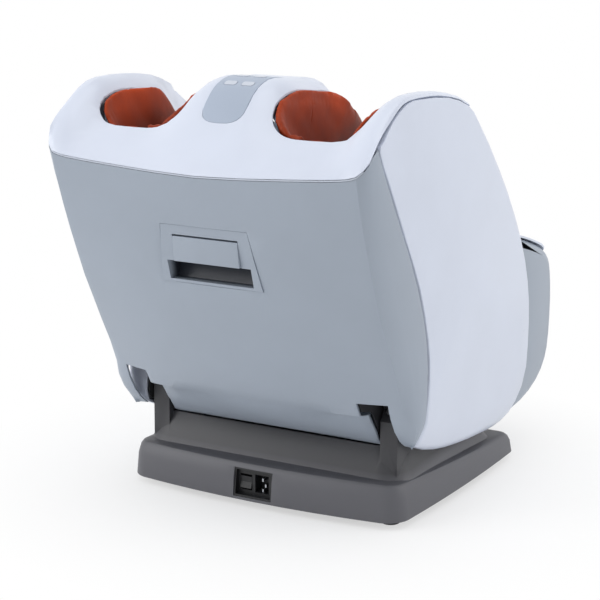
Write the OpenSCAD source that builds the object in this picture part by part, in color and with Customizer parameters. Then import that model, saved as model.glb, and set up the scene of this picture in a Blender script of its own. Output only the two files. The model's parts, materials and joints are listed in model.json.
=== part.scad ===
// Calf-and-foot massager: a two-legged boot body that tilts on a plinth.
// Millimetres, Z up, the user sits on the -Y side, the toes point to +Y, X is symmetric.
// The origin is on the floor, under the middle of the bounding box.

/* [Body] */
// Width over the two side covers
body_w = 442; // [438:1:446]
// Wall of the moulded covers
wall = 3; // [2.6:0.1:3.4]
// Depth of each side cover, measured across the body
cover_w = 31; // [30.5:0.5:31.5]
// Height of the grey panel's top edge in the middle
panel_top_z = 443; // [440:1:446]
// Height of the fold where the panel turns under the body
fold_z = 147; // [145:1:149]

/* [Legs] */
// Distance from the centre line to the middle of each leg well at the top
leg_x = 122.5; // [122:0.5:123]
// Inner width of a leg well
well_w = 124; // [123:0.5:125]
// Lean of the leg wells towards the user
leg_lean = 16; // [15:0.5:17]
// Distance from the centre line to the middle of each foot tunnel
foot_x = 96; // [95:0.5:97]
// Inner width of a foot tunnel
tunnel_w = 92; // [88:1:93]

/* [Plinth] */
// Width of the plinth at the floor
plinth_w = 406; // [404:1:408]
// Length of the plinth
plinth_l = 353; // [350:1:356]
// Height of the rubber feet
foot_h = 10; // [9.5:0.5:10.5]
// Diameter of the rubber feet
foot_d = 26; // [22:1:30]

/* [Tilt pivot] */
// Height of the tilt axis over the floor
pivot_z = 190; // [188:1:192]
// Place of the tilt axis along the plinth
pivot_y = -95; // [-97:1:-93]
// Diameter of the pivot pins
pivot_d = 14; // [12:1:15]

/* [Drives] */
// Gear module of both worm drives
gear_module = 1.5; // [1.4:0.05:1.55]
// Teeth of each worm wheel
wheel_teeth = 30; // [30:30]
// Pitch radius of the worms
worm_r = 7; // [6.8:0.1:7.2]
// Radius of the sole rollers
sole_roller_r = 20; // [19:0.5:20]
// Radius that the calf discs sweep
calf_disc_r = 28; // [26:0.5:28]

/* [Hidden] */

white = "#dde3f0";
grey = "#a0a9b4";
slate = "#5f6065";
dark = "#2a2b2e";
steel = "#b8bcc2";
fabric = "#8f3a22";

half_w = body_w / 2;
cover_x = half_w - cover_w;

// Seam between panel and side cover: its Y at a height Z.
seam = [[90, -150], [128, -150], [155, -147], [191, -144], [229, -147], [269, -158], [309, -176],
    [356, -202], [389, -224], [427, -248], [443, -258], [465, -272], [495, -289]];
// Foremost line of the panel in the middle of the body: its Y at a height Z.
front = [[95, -131], [103, -150], [113, -160], [128, -182], [147, -198], [167, -220], [230, -250],
    [300, -276], [366, -295], [443, -313], [495, -325]];
// Share of the panel's depth that its rounded side walls take up, at a height Z.
side_wall = [[147, 0.4], [166, 0.46], [214, 0.6], [255, 0.68], [296, 0.74], [374, 0.81], [443, 0.87],
    [495, 0.8]];

function lerp(a, b, t) = a + (b - a) * t;
function ease(t) = let (u = min(max(t, 0), 1)) u * u * (3 - 2 * u);
function spline_point(a, b, c, d, t) =
    0.5 * (2 * b + (c - a) * t + (2 * a - 5 * b + 4 * c - d) * t * t
        + (3 * b - a - 3 * c + d) * t * t * t);
// A smooth line through the points p, with n steps from each to the next.
function open_curve(p, n) = [
    for (i = [0:len(p) - 2]) for (k = [0:n - 1])
        spline_point(p[max(i - 1, 0)], p[i], p[i + 1], p[min(i + 2, len(p) - 1)], k / n),
    p[len(p) - 1]
];
function closed_curve(p, n) = let (c = len(p)) [
    for (i = [0:c - 1]) for (k = [0:n - 1])
        spline_point(p[(i + c - 1) % c], p[i], p[(i + 1) % c], p[(i + 2) % c], k / n)
];
// The counter-clockwise outline p, moved inwards by d.
function inset(p, d) = let (c = len(p)) [
    for (i = [0:c - 1])
        let (e = p[(i + 1) % c] - p[(i + c - 1) % c])
            p[i] + d * [-e[1], e[0]] / norm(e)
];
function oval(rx, ry, power, steps) = [
    for (i = [0:steps - 1])
        let (a = 360 * i / steps, c = cos(a), s = sin(a))
            [rx * sign(c) * pow(abs(c), 2 / power), ry * sign(s) * pow(abs(s), 2 / power)]
];
function round_rect(w, l, r, steps) = [
    for (q = [0:3]) for (k = [0:steps])
        let (a = 90 * (q + k / steps), sx = (q == 0 || q == 3) ? 1 : -1, sy = q < 2 ? 1 : -1)
            [sx * (w / 2 - r) + r * cos(a), sy * (l / 2 - r) + r * sin(a)]
];

// A solid skinned over rings of points that run counter-clockwise round the way they stack.
module skin(rings) {
    n = len(rings[0]);
    m = len(rings);
    sides = [
        for (j = [0:m - 2]) for (i = [0:n - 1])
            let (a = j * n + i, b = j * n + (i + 1) % n)
                each [[a, a + n, b + n], [a, b + n, b]]
    ];
    caps = [[for (i = [0:n - 1]) i], [for (i = [n - 1:-1:0]) (m - 1) * n + i]];
    polyhedron([for (r = rings) each r], concat(sides, caps));
}

// A thin shell between two grids of points, seen from outside with columns to the right.
module shell_grid(outer, inner) {
    rows = len(outer);
    cols = len(outer[0]);
    n = rows * cols;
    skins = [
        for (r = [0:rows - 2]) for (c = [0:cols - 2])
            let (a = r * cols + c, b = a + 1, d = a + cols, e = d + 1)
                each [[a, d, e], [a, e, b], [n + a, n + e, n + d], [n + a, n + b, n + e]]
    ];
    ends = [
        for (c = [0:cols - 2])
            let (a = c, b = c + 1, d = (rows - 1) * cols + c, e = d + 1)
                each [[a, b, n + b], [a, n + b, n + a], [e, d, n + d], [e, n + d, n + e]]
    ];
    flanks = [
        for (r = [0:rows - 2])
            let (a = r * cols, d = a + cols, b = a + cols - 1, e = b + cols)
                each [[d, a, n + a], [d, n + a, n + d], [b, e, n + e], [b, n + e, n + b]]
    ];
    points = concat([for (r = outer) each r], [for (r = inner) each r]);
    polyhedron(points, concat(skins, ends, flanks));
}

// Draws its children at x and mirrored at -x.
module both_sides() {
    children();
    mirror([1, 0, 0]) children();
}
// A solid with the outline p in Y and Z, from x0 to x1.
module across(p, x0, x1) {
    translate([x0, 0, 0]) rotate([90, 0, 90]) linear_extrude(x1 - x0) polygon(p);
}
module along_x(d, x0, x1) {
    translate([x0, 0, 0]) rotate([0, 90, 0]) cylinder(d = d, h = x1 - x0, $fn = 48);
}

// Side outline of a side cover, counter-clockwise as seen from +X.
side_points = [[-138.5, 102], [-75, 80], [-13, 70], [53, 62], [110, 57], [157, 63], [182, 100],
    [188, 160], [187, 222], [168, 284], [128, 351], [68, 424], [-2, 488], [-39, 511], [-100, 527],
    [-175, 532.5], [-211, 531], [-246, 515], [-269, 495], [-279, 484], [-253, 443], [-211, 376],
    [-170, 309], [-144, 240], [-138, 191], [-143, 135]];
side_outline = closed_curve(side_points, 2);
side_mid = [-20, 280];
// Edge rounding of the cover by the direction in which a point lies from the middle.
edge_radius = [[-180, 1.5], [-140, 1.5], [-126, 7], [-100, 9], [-60, 13], [60, 13], [84, 8], [96, 1],
    [180, 1]];
// How far the lower edge curls in under the body.
function tuck(y, z) =
    let (reach = min(46 + 0.26 * max(y + 150, 0), 85), t = max(150 - z, 0) / reach) 16 * t * t;
function cover_point(q, x) = let (u = (x - cover_x) / cover_w) [x - u * tuck(q[0], q[1]), q[0], q[1]];
// Ring a degrees round the cover's rounded edge, inside the outline by d more.
function edge_ring(a, d) = let (p = side_outline, c = len(p)) [
    for (i = [0:c - 1])
        let (e = p[(i + 1) % c] - p[(i + c - 1) % c], v = p[i] - side_mid,
            r = lookup(atan2(v[1], v[0]), edge_radius),
            q = p[i] + (r * (1 - cos(a)) + d) * [-e[1], e[0]] / norm(e))
            cover_point(q, half_w - d - r * (1 - sin(a)))
];
// How far the cover's top draws in towards the leg, at its inner edge and part of the way out.
inner_draw = [[14, 0], [26, 14], [45, 30], [60, 36], [84, 44], [94.5, 48], [100.6, 43], [107, 26],
    [117, 20], [126, 18], [131, 14], [139, 4], [146, 0]];
shoulder_draw = [[14, 0], [26, 5], [60, 16], [85, 22], [94.5, 22], [100.6, 8], [107, 0]];
shoulder_x = cover_x + 14;
function drawn_ring(table, d, x) = let (p = side_outline, c = len(p)) [
    for (i = [0:c - 1])
        let (e = p[(i + 1) % c] - p[(i + c - 1) % c], v = p[i] - side_mid,
            q = p[i] + (lookup(atan2(v[1], v[0]), table) + d) * [-e[1], e[0]] / norm(e))
            cover_point(q, x)
];
function face_ring(share, x) = [for (q = side_outline) cover_point(lerp(side_mid, q, share), x)];

// Like skin, but each end is a fan round a hub.
module hub_skin(rings, first, last) {
    n = len(rings[0]);
    m = len(rings);
    faces = [
        for (j = [0:m - 2]) for (i = [0:n - 1])
            let (a = j * n + i, b = j * n + (i + 1) % n)
                each [[a, a + n, b + n], [a, b + n, b]]
    ];
    ends = [for (i = [0:n - 1]) let (j = (i + 1) % n)
        each [[m * n, i, j], [m * n + 1, (m - 1) * n + j, (m - 1) * n + i]]];
    polyhedron(concat([for (r = rings) each r], [first, last]), concat(faces, ends));
}

module side_cover() {
    color(white) hub_skin([
        face_ring(0.8, half_w - wall),
        edge_ring(60, wall),
        edge_ring(0, wall),
        drawn_ring(shoulder_draw, wall, shoulder_x),
        drawn_ring(inner_draw, wall, cover_x),
        drawn_ring(inner_draw, 0, cover_x),
        drawn_ring(shoulder_draw, 0, shoulder_x),
        edge_ring(0, 0),
        edge_ring(35, 0),
        edge_ring(65, 0),
        edge_ring(90, 0),
        face_ring(0.8, half_w),
    ], [half_w - wall, side_mid[0], side_mid[1]], [half_w, side_mid[0], side_mid[1]]);
}
// The room that a side cover takes up, grown by d; beyond full_x it has the whole outline.
module cover_room(d, full_x) {
    skin([
        drawn_ring(inner_draw, -d, cover_x - d),
        drawn_ring(shoulder_draw, -d, shoulder_x),
        [for (q = inset(side_outline, -d)) [full_x, q[0], q[1]]],
        [for (q = inset(side_outline, -d)) [half_w + 20, q[0], q[1]]],
    ]);
}
module left_side_cover() {
    mirror([1, 0, 0]) side_cover();
}
module right_side_cover() {
    side_cover();
}

// How far the panel's top border rises over its middle, by the distance from the middle.
border_rise = [[0, 0], [60, 2], [120, 5.5], [160, 8], [190, 10.5], [203, 13], [210, 16.5], [215.5, 24],
    [218.2, 31], [220.4, 41], [221, 45]];
function border_z(x) = panel_top_z + lookup(abs(x) * 221 / half_w, border_rise);
function round_off(x, width, r) =
    let (t = max(abs(x) - width + r, 0) / r) sqrt(max(1 - t * t, 0));
function bulge(x, z) = let (w = lookup(z, side_wall))
    w * round_off(x, half_w, 15) + (1 - w) * (1 - pow(x / half_w, 2));
function panel_y(x, z) = lerp(lookup(z, seam), lookup(z, front), bulge(x, z));
// Lower edge of the panel beside the notches and between them, as Y at a height Z.
lobe = [[96, -133], [110, -155], [128, -171], [140, -178], [166, -194]];
chin = [[95, -131], [100.5, -134.5], [142, -163], [145, -186], [147, -188]];
notch_in = 152;
notch_out = 190;
notch_top = 166;
function low_y(x, z) = let (a = abs(x))
    a < notch_in + 8 ? lerp(lookup(z, chin), lookup(z, front), sqrt(max(1 - pow(a / 154, 2), 0)))
        : lerp(lookup(z, seam), lookup(z, lobe), pow(bulge(a, 147) / bulge(notch_out, 147), 0.8));
panel_half = [26, 52, 76, 98, 116, 131, 144, 156, 171, 187, 199, 207, 213.5, 217.5, 220, 221] * half_w / 221;
panel_cols = concat([for (i = [len(panel_half) - 1:-1:0]) -panel_half[i]], [0], panel_half);
low_rows = [95, 103, 113, 128, 142, 147];
// The lobes outside the notches end this much higher than the chin between them.
lobe_rise = 7;
function panel_row(x, r) = r < 6 ? low_rows[r] + (abs(x) > notch_in + 8 ? lobe_rise * max(1 - r / 2, 0) : 0)
    : lerp(notch_top, border_z(x), (r - 6) / 9);
function panel_point(x, z, d) =
    let (u = x * (1 - d / half_w), y = z < 147.5 ? low_y(x, z) : panel_y(x, z))
        [u - sign(x) * (abs(x) > 188 ? tuck(-150, z) * (abs(x) - 188) / 33 : 0), y + d, z];
panel_rows = 15;
function panel_grid(d) = [
    for (r = [0:panel_rows]) [for (x = panel_cols) panel_point(x, panel_row(x * (1 - d / half_w), r), d)]
];

module handle_cut() {
    rotate([90, 0, 0]) linear_extrude(400) polygon([[-70, 309], [70, 309], [60, 383], [-60, 383]]);
}
module back_panel() {
    color(grey) difference() {
        shell_grid(panel_grid(0), panel_grid(wall));
        both_sides() translate([notch_in, -400, 60])
            cube([notch_out - notch_in, 300, notch_top - 60]);
        handle_cut();
    }
}
module panel_trim() {
    function strip(dy, dz) = [
        for (c = [3:len(panel_cols) - 4])
            let (x = panel_cols[c]) [x, panel_y(x, border_z(x)) + dy, border_z(x) + dz]
    ];
    color("#c3cad4") shell_grid([strip(0.6, 0.5), strip(0.6, 2.3)], [strip(4, 0.5), strip(4, 2.3)]);
}

// Lengthwise lines of the top cover: over the hump, through a leg valley and over an arm.
hump_line = [[-313, 446], [-288, 474], [-259, 503], [-230, 532], [-207, 544], [-180, 548],
    [-134, 543.5], [-94, 539.5], [-62, 513], [-30, 475]];
valley_line = [[-306, 448], [-284, 467], [-260, 487], [-228, 499.5], [-195, 502.5], [-165, 501],
    [-130, 494], [-100, 485], [-60, 475], [-20, 465]];
arm_line = [[-286, 486], [-281, 497], [-265, 512], [-247, 524], [-229, 533.5], [-205, 539],
    [-150, 538.5], [-95, 532], [-38, 516], [4, 482.5]];
top_half = [12, 24, 36, 48, 58, 66, 76, 88, 102, 118, 134, 150, 166, 180, 194, 206, 214, 218, 220.5];
top_cols = concat([for (i = [len(top_half) - 1:-1:0]) -top_half[i]], [0], top_half);
top_rows = len(hump_line) * 2 - 2;
hump_curve = open_curve(hump_line, 2);
valley_curve = open_curve(valley_line, 2);
arm_curve = open_curve(arm_line, 2);
arm_round = 7;
function top_row(x) =
    let (a = abs(x), in_valley = ease((a - 36) / 64),
        on_arm = [for (i = [0:top_rows])
            let (k = ease((i - 14) / 2)) ease((a - 160 - 25 * k) / (46 - 14 * k))],
        edge = arm_round * (1 - round_off(x, half_w, arm_round)), start = border_z(x) + 3)
        [
            for (i = [0:top_rows])
                let (p = lerp(lerp(hump_curve[i], valley_curve[i], in_valley), arm_curve[i], on_arm[i]),
                    first = lerp(lerp(hump_curve[0], valley_curve[0], in_valley), arm_curve[0], on_arm[0]),
                    rise = [panel_y(x, start) + 0.4, start] - first)
                    p + rise * pow(max(1 - i / 5, 0), 1.6) - [0, edge * min(i / 5, 1)]
        ];
// The same line, sunk below the surface by depth.
function top_line(x, depth) = let (u = x * (1 - depth / half_w), p = top_row(u), c = len(p)) [
    for (i = [0:c - 1])
        let (e = p[min(i + 1, c - 1)] - p[max(i - 1, 0)], q = p[i] - depth * [-e[1], e[0]] / norm(e))
            i > 0 ? [u, q[0], q[1]] : [u, p[0][0] + depth, p[0][1]]
];
function flip(g) = [for (r = [0:len(g[0]) - 1]) [for (c = [0:len(g) - 1]) g[c][r]]];

// Outline of a leg well across the leg: squarish towards the user, open towards the toes.
function well_outline(half, reach, open_y) = concat(
    [for (i = [0:16]) let (a = 180 + 180 * i / 16, c = cos(a), s = sin(a))
        [half * sign(c) * pow(abs(c), 0.55), -reach * pow(abs(s), 0.55)]],
    [[half, open_y], [-half, open_y]]
);
// The leg's own frame: its origin is the middle of the well's rim.
rim_y = -198;
rim_z = 513;
module leg_frame() {
    translate([leg_x, rim_y, rim_z]) rotate([leg_lean, 0, 0]) children();
}
// A leg channel that narrows and draws in towards the ankle, between two heights of its frame.
leg_run = 331;
leg_inward = 26;
leg_narrow = 19;
module channel(half, reach, open_y, top, bottom, flare = 0) {
    leg_frame() skin([
        for (z = flare > 0 ? [bottom, -66, -14, top] : [bottom, 0, top])
            let (t = max(-z, 0) / leg_run, w = flare * ease((z + 66) / 52))
                [for (q = well_outline(half + w - leg_narrow * t, reach + w / 5 - leg_narrow * t, open_y))
                    [q[0] - leg_inward * t, q[1], z]]
    ]);
}

module top_cover() {
    color(white) difference() {
        shell_grid(flip([for (x = top_cols) top_line(x, 0)]),
            flip([for (x = top_cols) top_line(x, wall)]));
        both_sides() channel(well_w / 2 + 2.6, 65.5, 400, 70, -150);
        both_sides() translate([shoulder_x + 3, -37, 400]) cube([40, 80, 160]);
        intersection() {
            across(panel_path(20, 29), -40, 40);
            linear_extrude(700) polygon(plate_outline(0.3));
        }
    }
}
// Side view of the control panel: a strip that bends over the hump, between two depths.
function panel_path(above, below) =
    let (p = open_curve([[-270, 492], hump_line[2], hump_line[3], hump_line[4], hump_line[5],
            [-136, 542.6]], 3), c = len(p),
        n = [for (i = [0:c - 1]) let (e = p[min(i + 1, c - 1)] - p[max(i - 1, 0)])
            [-e[1], e[0]] / norm(e)])
        concat([for (i = [c - 1:-1:0]) p[i] + above * n[i]],
            [for (i = [0:c - 1]) p[i] + (above - below) * n[i]]);
// Outline of the control panel from above, grown by d, with a round end towards the user.
function plate_outline(d) = concat(
    [for (i = [0:12]) let (a = 180 + 15 * i)
        [(29 + d) * sign(cos(a)) * pow(abs(cos(a)), 0.7), -242 - (19 + d) * pow(abs(sin(a)), 0.7)]],
    [[29 + d, -150 + d], [-29 - d, -150 + d]]
);
module control_panel() {
    color("#b9c6d3") difference() {
        intersection() {
            across(panel_path(0.5, 3.2), -40, 40);
            linear_extrude(700) polygon(plate_outline(0));
        }
        for (b = buttons) place_button(b) translate([0, 0, -8])
            linear_extrude(16) polygon(round_rect(button_w + 0.8, button_l + 0.8, 3.4, 4));
    }
}
// Each button: its X, its Y, its height and the slope of the panel there.
buttons = [[-12, -212, 542.2, 24], [12, -212, 542.2, 24], [-12, -184, 548.1, 3],
    [12, -184, 548.1, 3]];
button_w = 16;
button_l = 9;
module place_button(b) {
    translate([b[0], b[1], b[2]]) rotate([b[3], 0, 0]) children();
}
module button_cap(b) {
    color(white) place_button(b) {
        translate([0, 0, -4.4]) linear_extrude(5.4) polygon(round_rect(button_w, button_l, 3, 4));
        translate([0, 0, -5.4]) linear_extrude(1.4)
            polygon(round_rect(button_w + 2, button_l + 2, 3, 4));
    }
}
module power_button() {
    button_cap(buttons[0]);
}
module mode_button() {
    button_cap(buttons[1]);
}
module strength_button() {
    button_cap(buttons[2]);
}
module heat_button() {
    button_cap(buttons[3]);
}
module circuit_board() {
    for (b = [buttons[0], buttons[2]]) color("#2f6b45") translate([0, b[1], b[2]])
        rotate([b[3], 0, 0]) {
            translate([-24, -12, -13]) cube([48, 24, 1.6]);
            for (x = [-12, 12]) translate([x - 3, -3, -11.6]) cube([6, 6, 4]);
        }
}

// White frame round the leg channels on the toe side, from the top cover down to the toe cover.
shin_side = [[-15, 460.5], [10, 438.5], [42, 405], [74, 370], [105, 345], [118, 335]];
shin_mid = [[-25, 467], [3, 441], [35, 407], [64, 373], [85, 348], [91, 342]];
module shin_cover() {
    xs = [-181, -170, -140, -100, -60, -30, 0, 30, 60, 100, 140, 170, 181];
    function sheet(d) = [for (i = [0:5]) [for (x = xs)
        let (q = lerp(shin_mid[i], shin_side[i], ease((abs(x) - 70) / 110)))
            [x, q[0] - 0.75 * d, q[1] - 0.66 * d]]];
    color(white) difference() {
        shell_grid(sheet(0), sheet(wall));
        both_sides() channel(well_w / 2 + 3, 67, 500, 60, -360);
    }
}

toe_points = [[120, 60], [200, 66], [258, 82], [293, 109], [306, 146], [309, 200], [304, 240],
    [293, 264], [269, 281], [217, 299], [170, 312], [120, 324]];
toe_outline = concat(open_curve(toe_points, 2));
toe_half_w = 206;
function ring_at(p, x) = [for (q = p) [x, q[0], q[1]]];
module toe_solid(d) {
    steps = [[0, 15], [2, 8], [7, 3], [16, 0]];
    skin(concat(
        [for (s = steps) ring_at(inset(toe_outline, s[1] + d), -toe_half_w + d + s[0])],
        [for (i = [3:-1:0]) ring_at(inset(toe_outline, steps[i][1] + d), toe_half_w - d - steps[i][0])]
    ));
}
module toe_box() {
    function cavity(d) = concat([for (q = inset(toe_outline, d)) if (q[1] < 262 && q[0] > 130) q],
        [[286 - d, 262], [256, 275], [217, 288], [170, 300], [130, 310]]);
    color(grey) difference() {
        toe_solid(0);
        across(cavity(wall), 20 - toe_half_w, toe_half_w - 20);
        across(cavity(wall + 12), wall - toe_half_w, toe_half_w - wall);
        translate([-300, 60, 0]) cube([600, 85, 400]);
        translate([-300, 60, 200]) cube([600, 104, 200]);
        across([[100, 329], [170, 309], [217, 296], [268, 278], [290, 262], [420, 262], [420, 420],
            [100, 420]], -300, 300);
        both_sides() cover_room(0.4, shoulder_x + 1);
    }
}
// White cover on the toe box that rises to the two ankle openings.
cover_path = [[95, 333], [120, 326.5], [170, 314], [217, 301], [266, 284], [286, 272.5], [293, 265.8]];
module toe_cover() {
    path = open_curve(cover_path, 2);
    xs = [-1, -0.96, -0.88, -0.72, -0.5, -0.25, 0, 0.25, 0.5, 0.72, 0.88, 0.96, 1];
    function half(y) = y < 142 ? 174 : 203 - 14 * pow(max(y - 270, 0) / 24, 2);
    function sheet(d) = [for (p = path) [for (u = xs)
        [u * half(p[0]), p[0] - d * max(p[0] - 262, 0) / 40, p[1] - d + 6 * (1 - pow(abs(u), 5))]]];
    color(white) difference() {
        shell_grid(sheet(0), sheet(wall));
        both_sides() channel(well_w / 2 + 3, 67, 240, -60, -360);
        both_sides() cover_room(0.4, shoulder_x + 1);
    }
}

// Walls on both sides of the slot in which a cheek of the plinth stands.
module slot_walls() {
    inner = [[-197, 172], [-184, 151], [-157, 144], [-128, 101], [-122, 103], [-124, 140], [-140, 172]];
    color(slate) both_sides() {
        across(inner, plate_x + 3.4, notch_in);
        intersection() {
            across(inset(side_outline, 5), cover_x - 1.2, cover_x - 0.2);
            translate([170, -220, 60]) cube([20, 200, 180]);
        }
    }
}
module bottom_cover() {
    color(slate) difference() {
        across([[-126, 100], [-75, 91], [53, 73], [116, 69], [116, 72], [53, 76], [-75, 94],
            [-126, 103]], -148, 148);
        for (p = screw_places) translate([p[0], p[1], p[2] - 5]) cylinder(d = 4, h = 20, $fn = 24);
    }
}

// Tunnel for a foot: its floor slopes down towards the toes.
tunnel_tilt = -6;
heel_y = -150;
toe_y = 250;
sole_z = 139;
function tunnel_outline(w, h, low) =
    concat([[-w / 2, low], [w / 2, low]],
        [for (i = [0:12]) let (a = 180 * i / 12) [w / 2 * cos(a), h - w / 2 * 0.7 + w / 2 * 0.7 * sin(a)]]);
module tunnel(w, h, low, y0, y1) {
    translate([foot_x, heel_y, sole_z]) rotate([tunnel_tilt, 0, 0]) translate([0, y1, 0])
        rotate([90, 0, 0]) linear_extrude(y1 - y0) polygon(tunnel_outline(w, h, low));
}
// Bounds of the channel walls: under the rim of the well and short of the shin cover.
rim_line = [[-275, 440], [-250, 485], [-241, 500], [-226, 517], [-206, 530], [-170, 540], [300, 540],
    [300, 60], [-275, 60]];
module channel_bounds(d) {
    intersection() {
        across([for (q = drawn_ring(inner_draw, 10 + d, 0)) [q[1], q[2]]], 105, cover_x - 0.6);
        translate([0, 0, -d - 14]) across(rim_line, 104, 210);
    }
    intersection() {
        translate([0, -34 - 2 * d, 0]) across(inset(side_outline, 10 + d), 20, 105);
        translate([0, 0, -d]) across(rim_line, 10, 106);
    }
}
tunnel_l = toe_y - heel_y;
module leg_shell() {
    difference() {
        union() {
            intersection() {
                channel(well_w / 2 + 1.8, 64, 238, 60, -leg_run + 1);
                channel_bounds(0);
            }
            tunnel(tunnel_w + 6, 118, -3, 0, tunnel_l);
        }
        channel(well_w / 2 - 1.2, 61, 420, 70, -leg_run);
        tunnel(tunnel_w, 115, 0, 3, tunnel_l - 3);
        for (x = sole_roller_x) translate([x - 9, 30, 60]) cube([18, 60, 74]);
        for (x = calf_disc_x) translate([x - 8, -260, 250]) cube([16, 80, 80]);
    }
}
module right_leg_shell() {
    color("#c9ced6") leg_shell();
}
module left_leg_shell() {
    color("#c9ced6") mirror([1, 0, 0]) leg_shell();
}
module liner() {
    difference() {
        union() {
            intersection() {
                channel(well_w / 2 - 10.6, 59, 236, 60, -leg_run + 6, 8.6);
                channel_bounds(3);
            }
            tunnel(tunnel_w - 3, 112, 7.5, 8, tunnel_l - 8);
        }
        channel(well_w / 2 - 14.6, 55, 420, 70, -leg_run - 1, 8.6);
        tunnel(tunnel_w - 11, 108, 11.5, 12, tunnel_l - 13);
    }
}
module right_liner() {
    color(fabric) liner();
}
module left_liner() {
    color(fabric) mirror([1, 0, 0]) liner();
}
// Flat cushions between each leg shell and its liner, on both sides of the calf.
module calf_airbags() {
    outer_slope = atan((leg_inward + leg_narrow) / leg_run);
    inner_slope = atan((leg_inward - leg_narrow) / leg_run);
    color("#3d4046") both_sides() leg_frame() {
        translate([well_w / 2 - 6, 0, 0]) rotate([0, outer_slope, 0]) airbag();
        translate([-well_w / 2 + 6, 0, 0]) rotate([0, inner_slope, 0]) airbag();
    }
}
module airbag() {
    translate([-4, 16, -150]) rotate([90, 0, 90]) linear_extrude(8) polygon(oval(34, 76, 3.5, 24));
}

// Chassis: floor tray, two side plates and cross tubes.
plate_x = 147;
module chassis() {
    plate = [[-122, 108], [-60, 99], [60, 82], [112, 79], [116, 118], [60, 180], [-30, 206],
        [-72, 208], [-74, 232], [-116, 232], [-118, 212], [-165, 215], [-205, 300], [-225, 380],
        [-258, 380], [-246, 300], [-205, 215], [-178, 180], [-138, 140]];
    color(steel) difference() {
        union() {
            both_sides() across(plate, plate_x, plate_x + 3);
            across([[-122, 107], [-60, 98], [60, 81], [112, 78], [112, 80], [60, 83], [-60, 100],
                [-122, 109]], -plate_x - 1, plate_x + 1);
            for (y = [-19.6, 16.4]) both_sides() translate([plate_x + 2, pivot_y + y, 214.5])
                cube([9.5, 3.2, 17]);
            for (p = [[-236, 350], [-124, 124]]) translate([0, p[0], p[1]])
                along_x(12, -plate_x - 1, plate_x + 1);
        }
        translate([0, pivot_y, pivot_z]) along_x(pivot_d + 8, -200, 200);
        for (p = [[-10, 150], [50, 130]]) translate([0, p[0], p[1]]) along_x(40, -200, 200);
        for (x = sole_roller_x) for (s = [-1, 1])
            translate([s * x - 9, 30, 60]) cube([18, 60, 40]);
        translate([-40, -100, 60]) cube([80, 200, 60]);
    }
}
module pivot_bushes() {
    color(dark) both_sides() translate([0, pivot_y, pivot_z]) difference() {
        union() {
            along_x(pivot_d + 8, plate_x - 1.4, plate_x + 3);
            along_x(pivot_d + 16, plate_x - 1.4, plate_x);
        }
        along_x(pivot_d + 0.1, plate_x - 10, plate_x + 10);
    }
}
bracket_x = 160;
module pivot_bracket() {
    outline = [[-134, 60], [-50, 60], [-54, 104], [-76, 200], [-86, 214], [-104, 214], [-116, 200],
        [-131, 130]];
    color(steel) difference() {
        union() {
            across(outline, bracket_x, bracket_x + 4);
            across([[-134, 60], [-50, 60], [-50, 64], [-134, 64]], bracket_x, bracket_x + 15);
        }
        translate([0, pivot_y, pivot_z]) along_x(pivot_d, bracket_x - 1, bracket_x + 5);
        translate([0, -95, 120]) along_x(40, bracket_x - 1, bracket_x + 5);
    }
}
module right_pivot_bracket() {
    pivot_bracket();
}
module left_pivot_bracket() {
    mirror([1, 0, 0]) pivot_bracket();
}
module pivot_pins() {
    color(steel) both_sides() translate([0, pivot_y, pivot_z]) {
        along_x(pivot_d, plate_x - 1, bracket_x + 4);
        along_x(pivot_d + 8, bracket_x + 4, bracket_x + 8);
        along_x(pivot_d + 6, plate_x + 4.5, bracket_x);
    }
}
module brake_drum() {
    color(dark) translate([0, pivot_y, pivot_z]) difference() {
        along_x(56, 152.5, 158.5);
        along_x(pivot_d + 6, 150, 160);
        for (a = [0:60:300]) rotate([a, 0, 0]) translate([0, 19, 0]) along_x(8, 150, 160);
    }
}
module brake_shoe() {
    color(dark) translate([0, pivot_y, pivot_z]) intersection() {
        difference() {
            along_x(76, 152.5, 158.5);
            along_x(56.6, 150, 160);
        }
        translate([150, -16, 20]) cube([10, 32, 30]);
    }
}
module release_cable() {
    path = [[155.5, -95, 241], [156, -97, 254], [165, -120, 284], [166, -166, 306], [157, -194, 317], [146, -201, 322],
        [132, -216, 331], [100, -232, 335], [72, -235, 336], [60, -238, 336], [58, -245, 336]];
    color(dark) tube_along(open_curve(path, 2), 3, 8);
}
// A tube with n sides and the radius r that follows the points p.
module tube_along(p, r, n) {
    c = len(p);
    rings = [
        for (i = [0:c - 1])
            let (d = p[min(i + 1, c - 1)] - p[max(i - 1, 0)], t = d / norm(d),
                u = cross(t, [0.3, 0.2, 1]), e = u / norm(u), f = cross(t, e))
                [for (k = [0:n - 1]) p[i] + r * (cos(360 * k / n) * e + sin(360 * k / n) * f)]
    ];
    skin(rings);
}

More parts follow.
